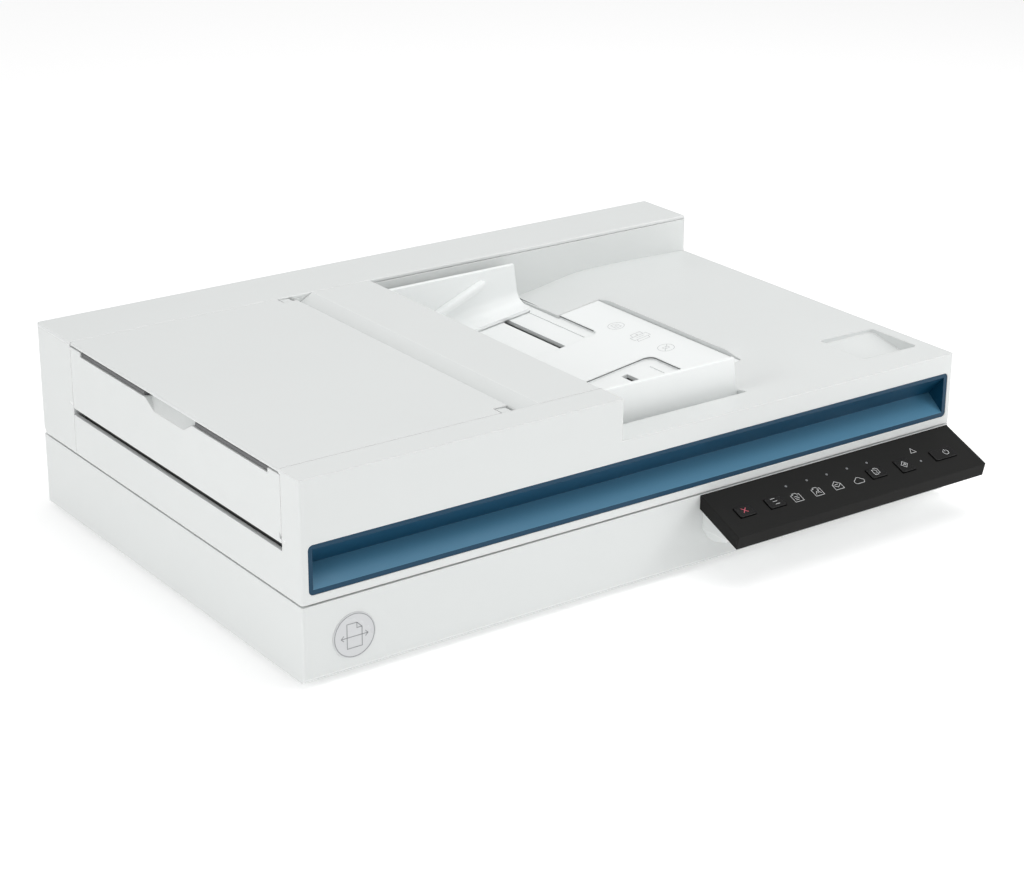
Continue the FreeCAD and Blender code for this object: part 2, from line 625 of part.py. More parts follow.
def on_tray(shape):
    piece = shape.copy()
    piece.rotate(V(0, 0, 0), V(0, 1, 0), -TRAY_SLOPE)
    piece.translate(V(TRAY_X, 0, TRAY_Z))
    return piece


def tray_u(x):
    """Distance along the slope of a point of the tray's surface."""
    return (x - TRAY_X) / cos(radians(TRAY_SLOPE))


def input_tray():
    right = tray_u(POCKET_RIGHT)
    pocket_back = HOUSING_FRONT - POCKET_REACH
    pocket_front = 115.8
    wide = box(tray_u(190), RIM_BACK + 0.2, -TRAY_THICK, right - 0.75, HOUSING_FRONT - 0.3, 0)
    tongue = box(right - 2, STEP_FRONT + 0.2, -TRAY_THICK, tray_u(STEP_X) - 0.75, STEP_REAR - 0.2, 0)
    tray = join(wide, tongue)
    left = tray_u(180)
    tools = [rounded(box(left, pocket_back, -POCKET_DEPTH, right + 0.8, 262, 5), 6, (0, 0, 1),
                     lambda m: m.x > right and m.y < 200),
             rounded(box(left, 10, -POCKET_DEPTH, right + 0.8, pocket_front, 5), 6, (0, 0, 1),
                     lambda m: m.x > right and m.y > 50),
             box(tray_u(RIM_END) - 1.3, 10, -8, right, RIM_THICK_BACK + 0.4, 5)]
    slot = rounded_slab(GUIDE_FOOT_U - 2.3, 170, GUIDE_FOOT_U + 2.3, 248, -6, 1, 0.5)
    tools += [slot, mirrored(slot)]
    groove = box(tray_u(309.5) - 0.4, 172, -POCKET_DEPTH - 0.5, tray_u(309.5) + 0.4, 262, 0)
    tools += [groove, mirrored(groove)]
    tray = cut(tray, *tools)
    post = bar(GUIDE_PINION_U, CENTRE_Y, -10.2, 2.0, 8, (0, 0, 1))
    save("input_tray", on_tray(join(tray, post)))


def guide_parts():
    """Back guide on the level tray: foot plate, upright plate with a cove between them, and limit rib."""
    face = CENTRE_Y + GUIDE_FACE
    left = tray_u(209)
    right = -34.0
    floor = -POCKET_DEPTH + 0.7
    foot = rounded(box(left, face - 16, floor, right, face + 3, 0.9), 4, (0, 0, 1),
                   lambda m: m.x > right - 1 and m.y < face)
    plate = box(left, face, floor, right, face + 3, 60)
    round_tool = bar(left - 1, face - 8, 8.9, 8, 200, (1, 0, 0))
    cove = cut(box(left, face - 8, 0.5, right, face + 1, 8.9), round_tool)
    foot_pin = box(GUIDE_FOOT_U - 1.2, face - 13, -9.6, GUIDE_FOOT_U + 1.2, face - 4, 0)
    return foot, plate, cove, foot_pin


def guide_rib():
    """Diagonal bead that marks how high the sheets may be stacked."""
    face = CENTRE_Y + GUIDE_FACE
    rib = along_y([(226, 78.9), (283.5, 101.9), (283.5, 106.1), (281.5, 106.1), (226, 83.9)],
                  face - 5, face + 1)
    return rounded(rib, 1.8, (57.5, 0, 23), lambda m: m.y < face - 4)


def guides():
    foot, plate, cove, foot_pin = guide_parts()
    level = box(150, 0, GUIDE_TOP, 360, 300, 200)
    under_cover = box(150, 0, 50, BLOCK_RIGHT + 1.0, 300, 200)
    body = join(on_tray(join(foot, plate, cove)), guide_rib())
    body = cut(body, level, under_cover)
    upright = rounded(body, 0.8, (1, 0, 0), lambda m: m.z > GUIDE_TOP - 0.1)
    bar_y = CENTRE_Y - 10
    back_rack = rack(114, GUIDE_PINION_U + 9, GUIDE_PINION_U + 14.75, bar_y, -9.6, -5.6, -1)
    arm = box(GUIDE_PINION_U + 11, 234, -9.6, GUIDE_FOOT_U + 1.2, 243, -5.6)
    back = join(upright, on_tray(join(back_rack, arm, foot_pin)))
    save("back_guide", back)
    front_rack = rack(114, GUIDE_PINION_U - 9, GUIDE_PINION_U - 14.75, 35, -9.6, -5.6, 1)
    low_arm = box(GUIDE_PINION_U - 14.75, 35, -13.4, GUIDE_FOOT_U + 1.2, 44, -10.4)
    riser = box(GUIDE_PINION_U - 14.75, 35, -13.4, GUIDE_PINION_U - 10.3, 44, -5.6)
    front_pin = box(GUIDE_FOOT_U - 1.2, 35, -13.4, GUIDE_FOOT_U + 1.2, 44, 0)
    front = join(mirrored(upright), on_tray(join(front_rack, riser, low_arm, front_pin)))
    save("front_guide", front)
    pinion = gear(GUIDE_TEETH, GUIDE_MODULE, 4.0)
    pinion = cut(pinion, bar(0, 0, -1, 2.0 + FIT, 8, (0, 0, 1)))
    pinion.translate(V(GUIDE_PINION_U, CENTRE_Y, -9.6))
    save("guide_pinion", on_tray(pinion))


# Feeder cover and exit door

def feeder_cover():
    axis_x, axis_z = COVER_AXIS
    front, back = COVER_FRONT + GAP, HOUSING_FRONT - GAP
    right = BLOCK_RIGHT
    outline = [(0.3, 115.5), (0.3, TOP), (148, TOP), (155, 112.4), (164, TOP), (right, TOP), (right, 96),
               (right - 2.4, 96), (right - 2.4, TOP - 2.5), (165, TOP - 2.5), (155, 109.6),
               (147, TOP - 2.5), (3.4, TOP - 2.5), (3.4, 115.5)]
    cover = along_y(outline, front, back)
    cover = rounded(cover, 1.2, (0, 1, 0), lambda m: m.x < 0.4 and m.z > 117)
    cover = rounded(cover, 0.8, (0, 1, 0), lambda m: m.x > right - 0.1 and m.z > 117)
    skirts = [box(12, front, 106, right - 1, front + 2, 116), box(12, back - 2, 106, right - 1, back, 116)]
    skirts += [box(60, front, 106, 62, back, 116), box(100, front, 106, 102, back, 116)]
    cover = join(cover, *skirts)
    notches = [box(138.6, front - 1, 104, 148.4, 28.4, 120), box(138.6, 249.6, 104, 148.4, back + 1, 120)]
    groove_room = along_y([(148, TOP), (155, 112.4), (164, TOP)], front - 1, back + 1)
    latch_room = bar(LATCH_AXIS[0], front + 8, LATCH_AXIS[1], 2.4, back - front - 16, (0, 1, 0))
    cover = cut(cover, *notches, groove_room, latch_room)
    pins = [bar(axis_x, front - 2.6, axis_z, COVER_PIN_R, 5, (0, 1, 0)),
            bar(axis_x, back - 2, axis_z, COVER_PIN_R, 4, (0, 1, 0))]
    save("feeder_cover", join(cover, *pins))


def cover_latch():
    """Rocking bar under the cover with a finger tab at each end of the groove."""
    x, z = LATCH_AXIS
    shaft = bar(x, 22, z, 1.6, 234, (0, 1, 0))
    pieces = []
    for y0, y1 in ((20.9, 27.8), (250.2, 257.1)):
        tab = along_y([(x - 3.6, z - 2), (x + 3.4, z - 2), (x + 3.4, 116.4), (x - 3.6, 117.0)], y0, y1)
        hook = box(x - 3.6, y0, 104, x - 1.4, y1, z)
        pieces += [tab, hook]
    save("cover_latch", join(shaft, *pieces))


def exit_door():
    front, back = DOOR_FRONT, HOUSING_FRONT - GAP
    plate = box(0, front, DOOR_BOTTOM, 2.4, back, DOOR_TOP)
    plate = rounded(plate, 1.1, (0, 1, 0), lambda m: m.z < DOOR_BOTTOM + 0.1)
    ears = [box(0, front, 110, 2.4, 31, 114.5), box(0, 245, 110, 2.4, back, 114.5)]
    ribs = [box(2, front + 4, 84, 4.4, back - 4, 86), box(2, front + 4, 96, 4.4, back - 4, 98)]
    door = join(plate, *ears, *ribs)
    cheeks = along_y([(2, 102.5), (5.8, 107), (5.8, DOOR_TOP), (2, DOOR_TOP)], 109.4, 167)
    floor = box(3, 112, 107, 5.8, 164.4, 113.5)
    scoop = along_x([(111.4, 111.9), (121, 106.4), (154.7, 106.4), (165, 111.9), (165, 114), (111.4, 114)],
                    -1, 7)
    slant = along_y([(-1, 104.9), (6.2, 114.14), (-1, 114.14)], 100, 180)
    tip = along_x([(front - 1, 79.0), (front + 1.9, 79.0), (front + 1.9, 82.4)], -1, 1.4)
    door = cut(join(door, cheeks, floor), common(scoop, slant), tip)
    x, z = DOOR_AXIS
    pins = [bar(x, front - 2.6, z, 1.2, 4, (0, 1, 0)), bar(x, back - 2, z, 1.2, 4.6, (0, 1, 0))]
    save("exit_door", join(door, *pins))


# Feeder mechanism

def pinion_axis():
    """Centre of the motor pinion, in mesh with the feed gear and the scan gear."""
    reach = GEAR_MODULE * (ROLLER_GEAR_TEETH + PINION_TEETH) / 2
    dx, dz = FEED_AXIS[0] - SCAN_AXIS[0], FEED_AXIS[1] - SCAN_AXIS[1]
    span = hypot(dx, dz)
    rise = sqrt(reach ** 2 - (span / 2) ** 2)
    return ((FEED_AXIS[0] + SCAN_AXIS[0]) / 2 - rise * dz / span,
            (FEED_AXIS[1] + SCAN_AXIS[1]) / 2 + rise * dx / span)


def mesh_turn(axis):
    """Turn of a roller gear that puts a gap where the pinion's tooth meets it, in degrees.

    The pinion has a tooth on its own +X. Angles are measured in the plane that turned_to_y() maps to x, -z.
    """
    px, pz = pinion_axis()
    to_gear = atan2(-(axis[1] - pz), axis[0] - px)
    pitch = 2 * pi / PINION_TEETH
    phase = (to_gear / pitch) % 1.0
    back = to_gear + pi
    gear_pitch = 2 * pi / ROLLER_GEAR_TEETH
    return degrees(back + (0.5 + phase) * gear_pitch)


def roller_shaft(axis, end, gear_turn=None, pulley=False):
    x, z = axis
    pieces = [bar(x, 21, z, SHAFT_R, end - 21, (0, 1, 0))]
    if gear_turn is not None:
        pieces.append(turned_to_y(gear(ROLLER_GEAR_TEETH, GEAR_MODULE, 5, gear_turn), x, GEAR_Y, z))
    if pulley:
        pieces.append(bar(x, BELT_PULLEY_Y, z, BELT_PULLEY_R, 6, (0, 1, 0)))
        pieces.append(bar(x, BELT_PULLEY_Y - 1, z, BELT_PULLEY_R + 1.2, 1, (0, 1, 0)))
    return join(*pieces)


def sleeves(axis, radius, places):
    x, z = axis
    rings = []
    for y0, y1 in places:
        bore = bar(x, y0 - 1, z, SHAFT_R, y1 - y0 + 2, (0, 1, 0))
        rings.append(cut(bar(x, y0, z, radius, y1 - y0, (0, 1, 0)), bore))
    return rings


def feeder_rollers():
    save("feed_shaft", roller_shaft(FEED_AXIS, GEAR_Y + 6, mesh_turn(FEED_AXIS)))
    save_group("feed_roller", sleeves(FEED_AXIS, 11, [(125, 153)]))
    save("scan_shaft", roller_shaft(SCAN_AXIS, BELT_PULLEY_Y + 7, mesh_turn(SCAN_AXIS), True))
    places = [(48, 62), (98, 112), (166, 180), (216, 230)]
    save_group("scan_rollers", sleeves(SCAN_AXIS, 6.5, places))
    save("exit_shaft", roller_shaft(EXIT_AXIS, BELT_PULLEY_Y + 7, None, True))
    save_group("exit_rollers", sleeves(EXIT_AXIS, 6.5, places))
    x, z = pinion_axis()
    pinion = turned_to_y(gear(PINION_TEETH, GEAR_MODULE, 6), x, GEAR_Y - 0.5, z)
    save("motor_pinion", join(pinion, bar(x, GEAR_Y - 0.5, z, 1.5, 26, (0, 1, 0))))


def pick_arm():
    fx, fz = FEED_AXIS
    px, pz = PICK_AXIS
    tilt = atan2(pz - fz, px - fx)
    nx, nz = -sin(tilt), cos(tilt)
    web = [(fx + 4 * nx, fz + 4 * nz), (px + 4 * nx, pz + 4 * nz),
           (px - 3 * nx, pz - 3 * nz), (fx - 4 * nx, fz - 4 * nz)]
    pieces = []
    for y in (119.5, 155.5):
        pieces.append(along_y(web, y, y + 3))
        pieces.append(bar(fx, y, fz, 5.5, 3, (0, 1, 0)))
        pieces.append(bar(px, y, pz, 4.5, 3, (0, 1, 0)))
    over = [(fx + 13 * nx, fz + 13 * nz), (px + 11.5 * nx, pz + 11.5 * nz),
            (px + 13.5 * nx, pz + 13.5 * nz), (fx + 15 * nx, fz + 15 * nz)]
    roof = along_y(over, 119.5, 158.5)
    posts = []
    for y in (119.5, 155.5):
        posts.append(along_y([(fx + 6, fz + 2), (fx + 14, fz + 2), (fx + 14 + 14 * nx, fz + 14 * nz),
                              (fx + 6 + 14 * nx, fz + 14 * nz)], y, y + 3))
    arm = join(*pieces, roof, *posts)
    bores = [bar(fx, 118, fz, SHAFT_R + FIT, 42, (0, 1, 0)), bar(px, 118, pz, 2 + FIT, 42, (0, 1, 0))]
    save("pick_arm", cut(arm, *bores))
    roller = join(bar(px, 124, pz, 9, 30, (0, 1, 0)), bar(px, 118.5, pz, 2, 41, (0, 1, 0)))
    save("pick_roller", roller)
    sx, sz = SEPARATOR_AXIS
    separator = join(bar(sx, 126, sz, 6.2, 26, (0, 1, 0)), bar(sx, 120.3, sz, 2, 37.4, (0, 1, 0)))
    save("separation_roller", separator)


def feeder_frame():
    sides = []
    for y in (22.6, 253.2):
        outline = [(6, 76.5), (6, 97), (30, 97), (60, 84), (120, 84), (150, 97), (176, 97), (186, 70),
                   (176, 51), (24, 51), (24, 70)]
        sides.append(along_y(outline, y, y + 2.2))
    ties = [box(30, 22.6, 88, 34, 255.4, 90.5), box(104, 22.6, 81, 114, 255.4, 83.5)]
    sx, sz = SEPARATOR_AXIS
    cheeks = [box(sx - 5, y, 50.6, sx + 5, y + 2.5, sz + 4) for y in (120.2, 155.3)]
    foot = box(sx - 5, 120.2, 50.6, sx + 5, 157.8, 51.2)
    frame = join(*sides, *ties)
    bores = [bar(x, 20, z, SHAFT_R + FIT, 240, (0, 1, 0)) for x, z in (FEED_AXIS, SCAN_AXIS, EXIT_AXIS)]
    frame = cut(frame, *bores)
    bracket = cut(join(*cheeks, foot), bar(sx, 119, sz, 2 + FIT, 40, (0, 1, 0)))
    save_group("feeder_frame", [frame, bracket])


def paper_guides():
    lower = [(189.3, 64.0), (150, 59.8), (123.5, 50.6), (121.5, 50.6), (121.5, 51.4), (149.5, 61.4),
             (189.3, 65.6)]
    down = along_y(lower, 27, 251)
    up = along_y([(96.5, 50.6), (94.5, 50.6), (7, 73.0), (5, 73.0), (5, 74.6), (7.5, 74.6),
                  (96.5, 51.8)], 27, 251)
    down = cut(down, box(150, 119, 50, 171, 159, 70), box(131, 46, 49, 145, 232, 63))
    save_group("lower_paper_guide", [down, up])
    upper = along_y([(128, 60.5), (122, 54.4), (97, 54.4), (30, 73.6), (30, 75.2), (97.3, 56.2),
                     (121.3, 56.2), (127, 62)], 27, 251)
    save("upper_paper_guide", upper)
    sensor = rounded(box(58, 30, 68.5, 78, 248, 80), 1, (0, 1, 0))
    sensor = join(sensor, box(62, 30, 66.6, 74, 248, 69))
    save("second_side_sensor", sensor)


def feeder_drive():
    exit_x, exit_z = EXIT_AXIS
    scan_x, scan_z = SCAN_AXIS
    loops = []
    for grow in (1.5, 0.3):
        r = BELT_PULLEY_R + grow
        face = belt_loop([(exit_x, -exit_z, r), (scan_x, -scan_z, r)])
        loops.append(face.extrude(V(0, 0, 5)))
    save("feeder_belt", turned_to_y(cut(*loops), 0, BELT_PULLEY_Y + 0.5, 0))
    x, z = pinion_axis()
    motor = bar(x, 280.6, z, 14, 16, (0, 1, 0))
    save("feeder_motor", cut(motor, bar(x, 280, z, 1.5 + FIT, 10, (0, 1, 0))))
    plate = box(x - 20, 279, 50.6, x + 20, 280.6, z + 16)
    foot = box(x - 20, 280.6, 50.6, x + 20, 292, 52.2)
    save("motor_bracket", cut(join(plate, foot), bar(x, 278, z, 1.5 + 0.2, 4, (0, 1, 0))))


def build():
    os.makedirs("parts", exist_ok=True)
    for piece in (base_shell, base_bezel, glasses, feet_and_screws, carriage_drive, sensor_carriage,
                  electronics, control_panel, panel_keys, front_badge, hinge_posts, lid_base_plate,
                  backing_pad, lid_shell, rear_housing, grip_inset, input_tray, guides, feeder_cover,
                  cover_latch, exit_door, feeder_rollers, pick_arm, feeder_frame, paper_guides, feeder_drive):
        piece()


build()
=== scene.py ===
"""Looks of the document scanner: camera, studio, finishes, and the small marks and strips on its case."""
import json
from math import atan2, cos, pi, radians, sin, tan

import bpy
from mathutils import Matrix, Vector


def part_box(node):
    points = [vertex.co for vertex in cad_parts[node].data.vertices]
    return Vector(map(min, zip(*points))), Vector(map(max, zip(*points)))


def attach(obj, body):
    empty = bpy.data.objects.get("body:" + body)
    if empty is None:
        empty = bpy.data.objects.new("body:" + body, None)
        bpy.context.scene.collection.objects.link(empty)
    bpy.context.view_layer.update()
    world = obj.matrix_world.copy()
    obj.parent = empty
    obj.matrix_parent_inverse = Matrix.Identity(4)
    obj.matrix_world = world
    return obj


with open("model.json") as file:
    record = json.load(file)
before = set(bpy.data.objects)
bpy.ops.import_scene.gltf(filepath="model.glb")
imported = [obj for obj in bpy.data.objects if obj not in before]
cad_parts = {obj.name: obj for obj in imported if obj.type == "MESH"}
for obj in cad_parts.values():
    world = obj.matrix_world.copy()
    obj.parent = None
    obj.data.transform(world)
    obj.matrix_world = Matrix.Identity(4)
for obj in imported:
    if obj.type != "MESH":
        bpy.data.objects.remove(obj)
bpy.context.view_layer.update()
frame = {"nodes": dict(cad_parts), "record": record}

MM = 0.001


# Camera, placed so that the case's straight edges lie as they do in the photograph

CAMERA_PLACE = (-0.8018, -1.1152, 0.5855)
CAMERA_YAW = radians(35.615)
CAMERA_PITCH = radians(21.376)
CAMERA_ROLL = 0.0048
CAMERA_LENS = 86.03


def add_camera():
    """Camera that looks along +Y, turned right by the yaw, down by the pitch, and rolled a little."""
    data = bpy.data.cameras.new("camera")
    data.lens = CAMERA_LENS
    data.sensor_width = 36.0
    data.clip_start = 0.05
    data.clip_end = 60.0
    camera = bpy.data.objects.new("camera", data)
    camera.location = CAMERA_PLACE
    camera.rotation_mode = "XYZ"
    turn = Matrix.Rotation(-CAMERA_YAW, 4, "Z") @ Matrix.Rotation(pi / 2 - CAMERA_PITCH, 4, "X")
    camera.rotation_euler = (turn @ Matrix.Rotation(CAMERA_ROLL, 4, "Z")).to_euler()
    bpy.context.scene.collection.objects.link(camera)
    bpy.context.scene.camera = camera


# Studio, in metres and watts

SKY_STRENGTH = 0.57
FLOOR_GLOW = 0.27
FLOOR_HALF = 12.0
AREA_LIGHTS = (
    # name, place, aim, size, power
    ("overhead", (0.3, -0.12, 1.45), (0.12, 0, 0), (1.2, 1.2), 8.5),
    ("back_sheen", (0.2, 2.1, 1.7), (0.0, 0, 0.1), (2.0, 1.0), 4),
    ("front_fill", (0.85, -0.85, 0.45), (0.22, -0.12, 0.08), (0.5, 0.5), 3),
    ("left_fill", (-1.35, -0.3, 0.5), (-0.1, -0.05, 0.05), (0.9, 0.6), 3.6),
)


def add_area(name, place, aim, size, power):
    data = bpy.data.lights.new(name, "AREA")
    data.shape = "RECTANGLE"
    data.size, data.size_y = size
    data.energy = power
    lamp = bpy.data.objects.new(name, data)
    lamp.location = place
    lamp.rotation_mode = "QUATERNION"
    lamp.rotation_quaternion = (Vector(aim) - Vector(place)).to_track_quat("-Z", "Y")
    bpy.context.scene.collection.objects.link(lamp)


def add_floor():
    """White paper floor that glows a little, so that it stays as pale as the photograph's."""
    mesh = bpy.data.meshes.new("floor")
    corners = [(x * FLOOR_HALF, y * FLOOR_HALF, 0) for x, y in ((-1, -1), (1, -1), (1, 1), (-1, 1))]
    mesh.from_pydata(corners, [], [(0, 1, 2, 3)])
    floor = bpy.data.objects.new("floor", mesh)
    bpy.context.scene.collection.objects.link(floor)
    material, shader = plain_material("floor_paper", (0.92, 0.92, 0.92), 0.9)
    shader.inputs["Specular IOR Level"].default_value = 0.1
    shader.inputs["Emission Color"].default_value = (1.0, 1.0, 1.0, 1.0)
    shader.inputs["Emission Strength"].default_value = FLOOR_GLOW
    mesh.materials.append(material)


def add_studio():
    world = bpy.data.worlds.new("studio")
    world.use_nodes = True
    back = world.node_tree.nodes["Background"]
    back.inputs["Color"].default_value = (1.0, 1.0, 1.0, 1.0)
    back.inputs["Strength"].default_value = SKY_STRENGTH
    scene = bpy.context.scene
    scene.world = world
    scene.view_settings.view_transform = "Standard"
    for light in AREA_LIGHTS:
        add_area(*light)


# Materials

NOISE_LOW = 0.3
NOISE_HIGH = 0.7


def plain_material(name, colour, roughness):
    material = bpy.data.materials.new(name)
    material.use_nodes = True
    shader = material.node_tree.nodes["Principled BSDF"]
    shader.inputs["Base Color"].default_value = (*colour, 1.0)
    shader.inputs["Roughness"].default_value = roughness
    return material, shader


def add_node(tree, kind, **values):
    node = tree.nodes.new(kind)
    for key, value in values.items():
        setattr(node, key, value)
    return node


def noise(tree, scale, detail):
    """Noise in the object's own metres."""
    place = add_node(tree, "ShaderNodeTexCoord")
    texture = add_node(tree, "ShaderNodeTexNoise")
    texture.inputs["Scale"].default_value = scale
    texture.inputs["Detail"].default_value = detail
    tree.links.new(place.outputs["Object"], texture.inputs["Vector"])
    return texture.outputs["Fac"]


def map_range(tree, source, start, end, low=0.0, high=1.0, kind="LINEAR"):
    """Value that goes from low to high while the source goes from start to end."""
    node = add_node(tree, "ShaderNodeMapRange", interpolation_type=kind)
    node.inputs["From Min"].default_value = start
    node.inputs["From Max"].default_value = end
    node.inputs["To Min"].default_value = low
    node.inputs["To Max"].default_value = high
    tree.links.new(source, node.inputs["Value"])
    return node.outputs["Result"]


def tint(tree, source, dark, light):
    """Colour between a dark and a light one, by a value from 0 to 1."""
    node = add_node(tree, "ShaderNodeMix", data_type="RGBA")
    node.inputs["A"].default_value = (*dark, 1.0)
    node.inputs["B"].default_value = (*light, 1.0)
    tree.links.new(source, node.inputs["Factor"])
    return node.outputs["Result"]


def add_bump(tree, shader, height, strength, depth):
    """Bump with a depth in millimetres, led to the shader's normal."""
    node = add_node(tree, "ShaderNodeBump")
    node.inputs["Strength"].default_value = strength
    node.inputs["Distance"].default_value = depth * MM
    tree.links.new(height, node.inputs["Height"])
    tree.links.new(node.outputs["Normal"], shader.inputs["Normal"])
    return node


def paint_edge_highlight(tree, colour, soft, edge_highlight):
    """Colour that turns to a painted highlight where the softened normal leaves the face's own."""
    face = add_node(tree, "ShaderNodeNewGeometry")
    match = add_node(tree, "ShaderNodeVectorMath", operation="DOT_PRODUCT")
    tree.links.new(face.outputs["Normal"], match.inputs[0])
    tree.links.new(soft.outputs["Normal"], match.inputs[1])
    share = map_range(tree, match.outputs["Value"], 0.998, 0.9)
    blend = add_node(tree, "ShaderNodeMix", data_type="RGBA")
    blend.inputs["B"].default_value = (edge_highlight, edge_highlight, edge_highlight, 1.0)
    tree.links.new(share, blend.inputs["Factor"])
    tree.links.new(colour, blend.inputs["A"])
    return blend.outputs["Result"]


def colour_drift(tree):
    return noise(tree, 9.0, 3.0)


def moulded(name, dark, light, rough, grain=2600.0, depth=0.012, edge=0.35, edge_highlight=None,
            specular=0.5, share=colour_drift):
    """Moulded plastic with uneven gloss, a fine grain and softened edges, which may carry a painted
    highlight.

    The grain is counted per metre, and its depth and the edge's radius are in millimetres. share is
    the function that makes the nodes that choose between the dark and the light colour.
    """
    material, shader = plain_material(name, light, rough)
    shader.inputs["Specular IOR Level"].default_value = specular
    tree = material.node_tree
    colour = tint(tree, share(tree), dark, light)
    gloss = map_range(tree, noise(tree, 42.0, 4.0), NOISE_LOW, NOISE_HIGH, rough - 0.05, rough + 0.05)
    tree.links.new(gloss, shader.inputs["Roughness"])
    soft = add_node(tree, "ShaderNodeBevel", samples=4)
    soft.inputs["Radius"].default_value = edge * MM
    if edge_highlight:
        colour = paint_edge_highlight(tree, colour, soft, edge_highlight)
    tree.links.new(colour, shader.inputs["Base Color"])
    relief = add_bump(tree, shader, noise(tree, grain, 1.0), 0.6, depth)
    tree.links.new(soft.outputs["Normal"], relief.inputs["Normal"])
    return material


# Depths behind the lid's front, in millimetres, between which the grip's painted shade deepens.
GRIP_MOUTH = 3.25
GRIP_DEEP = 12.25


def grip_painted_light(tree):
    """Share of the painted lit colour in the blue grip: painted light on faces that look up, and less of
    it, so more painted shade, deep inside.
    """
    place = add_node(tree, "ShaderNodeTexCoord")
    facing = add_node(tree, "ShaderNodeSeparateXYZ")
    spot = add_node(tree, "ShaderNodeSeparateXYZ")
    tree.links.new(place.outputs["Normal"], facing.inputs["Vector"])
    tree.links.new(place.outputs["Object"], spot.inputs["Vector"])
    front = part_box("lid_shell")[0].y
    deep = front + GRIP_DEEP * MM
    mouth = front + GRIP_MOUTH * MM
    upward = map_range(tree, facing.outputs["Z"], 0.05, 0.75, kind="SMOOTHSTEP")
    outward = map_range(tree, spot.outputs["Y"], deep, mouth, 0.55, kind="SMOOTHSTEP")
    share = add_node(tree, "ShaderNodeMath", operation="MULTIPLY")
    tree.links.new(upward, share.inputs[0])
    tree.links.new(outward, share.inputs[1])
    return share.outputs["Value"]


def metal(name, colour, rough, brush):
    """Turned or drawn metal with fine lines, as many per metre in X, Y and Z as brush says."""
    material, shader = plain_material(name, colour, rough)
    shader.inputs["Metallic"].default_value = 1.0
    tree = material.node_tree
    place = add_node(tree, "ShaderNodeTexCoord")
    stretch = add_node(tree, "ShaderNodeMapping")
    stretch.inputs["Scale"].default_value = brush
    lines = add_node(tree, "ShaderNodeTexNoise")
    lines.inputs["Scale"].default_value = 1.0
    tree.links.new(place.outputs["Object"], stretch.inputs["Vector"])
    tree.links.new(stretch.outputs["Vector"], lines.inputs["Vector"])
    streaks = lines.outputs["Fac"]
    darker = tuple(0.8 * c for c in colour)
    gloss = map_range(tree, streaks, NOISE_LOW, NOISE_HIGH, rough - 0.08, rough + 0.1)
    tree.links.new(tint(tree, streaks, darker, colour), shader.inputs["Base Color"])
    tree.links.new(gloss, shader.inputs["Roughness"])
    add_bump(tree, shader, streaks, 0.4, 0.01)
    return material


def glass():
    material, shader = plain_material("scan_glass", (0.93, 0.97, 0.95), 0.02)
    shader.inputs["Transmission Weight"].default_value = 1.0
    shader.inputs["IOR"].default_value = 1.5
    return material


FINISHES = {
    # The case's edges get a near-white painted highlight where the softened normal turns from the face's
    # own.
    "case_white": moulded("case_white", (0.725, 0.745, 0.738), (0.745, 0.765, 0.758), 0.42,
                          edge=0.9, edge_highlight=0.97),
    "bezel_grey": moulded("bezel_grey", (0.60, 0.61, 0.615), (0.64, 0.65, 0.655), 0.5),
    # The grip's dark blue is painted shade and its light blue is painted light, shared out by facing and
    # depth.
    "grip_blue": moulded("grip_blue", (0.002, 0.044, 0.092), (0.074, 0.220, 0.345), 0.36,
                         edge=0.3, specular=0.3, share=grip_painted_light),
    "panel_black": moulded("panel_black", (0.0175, 0.0175, 0.017), (0.021, 0.021, 0.0205), 0.55,
                           edge=0.6, specular=0.05),
    "key_black": moulded("key_black", (0.003, 0.003, 0.003), (0.005, 0.005, 0.005), 0.24,
                         edge=0.5, specular=0.2),
    "light_lens": moulded("light_lens", (0.20, 0.21, 0.22), (0.24, 0.25, 0.26), 0.3),
    "badge_silver": moulded("badge_silver", (0.62, 0.63, 0.64), (0.68, 0.69, 0.70), 0.28),
    "clear_glass": glass(),
    "foot_rubber": moulded("foot_rubber", (0.028, 0.028, 0.028), (0.04, 0.04, 0.04), 0.75,
                           grain=1400.0, depth=0.03),
    "roller_rubber": moulded("roller_rubber", (0.10, 0.10, 0.105), (0.14, 0.14, 0.145), 0.7,
                             grain=1800.0, depth=0.03),
    "belt_rubber": moulded("belt_rubber", (0.016, 0.016, 0.016), (0.022, 0.022, 0.022), 0.65,
                           grain=1500.0, depth=0.03),
    "steel": metal("steel", (0.60, 0.60, 0.61), 0.3, (900, 60, 900)),
    "motor_steel": metal("motor_steel", (0.34, 0.34, 0.35), 0.38, (300, 300, 1400)),
    "gear_plastic": moulded("gear_plastic", (0.66, 0.65, 0.60), (0.72, 0.71, 0.66), 0.45),
    "dark_plastic": moulded("dark_plastic", (0.045, 0.046, 0.05), (0.06, 0.061, 0.065), 0.5),
    "sensor_black": moulded("sensor_black", (0.018, 0.018, 0.02), (0.026, 0.026, 0.028), 0.45),
    "board_green": moulded("board_green", (0.015, 0.10, 0.045), (0.022, 0.13, 0.06), 0.3),
    "socket_black": moulded("socket_black", (0.014, 0.014, 0.014), (0.02, 0.02, 0.02), 0.42),
    "socket_metal": metal("socket_metal", (0.66, 0.66, 0.67), 0.28, (1200, 80, 1200)),
    "pad_white": moulded("pad_white", (0.80, 0.80, 0.80), (0.84, 0.84, 0.84), 0.6,
                         grain=900.0, depth=0.05),
}

# Lighter copy of the case white for the tray and its guides: painted light that makes them brighter than
# the case.
TRAY_PAINTED_LIGHT = moulded("tray_painted_light", (0.895, 0.915, 0.91), (0.915, 0.935, 0.93), 0.40, edge=0.5)
# The dark grey of the sheets in the door's slots is painted shade.
SLOT_SHADE_GREY = moulded("slot_shade_grey", (0.12, 0.122, 0.125), (0.145, 0.147, 0.15), 0.55, edge=0.2)
PAINTED_LIGHT_FINISH = {"input_tray": TRAY_PAINTED_LIGHT, "back_guide": TRAY_PAINTED_LIGHT, "front_guide": TRAY_PAINTED_LIGHT}

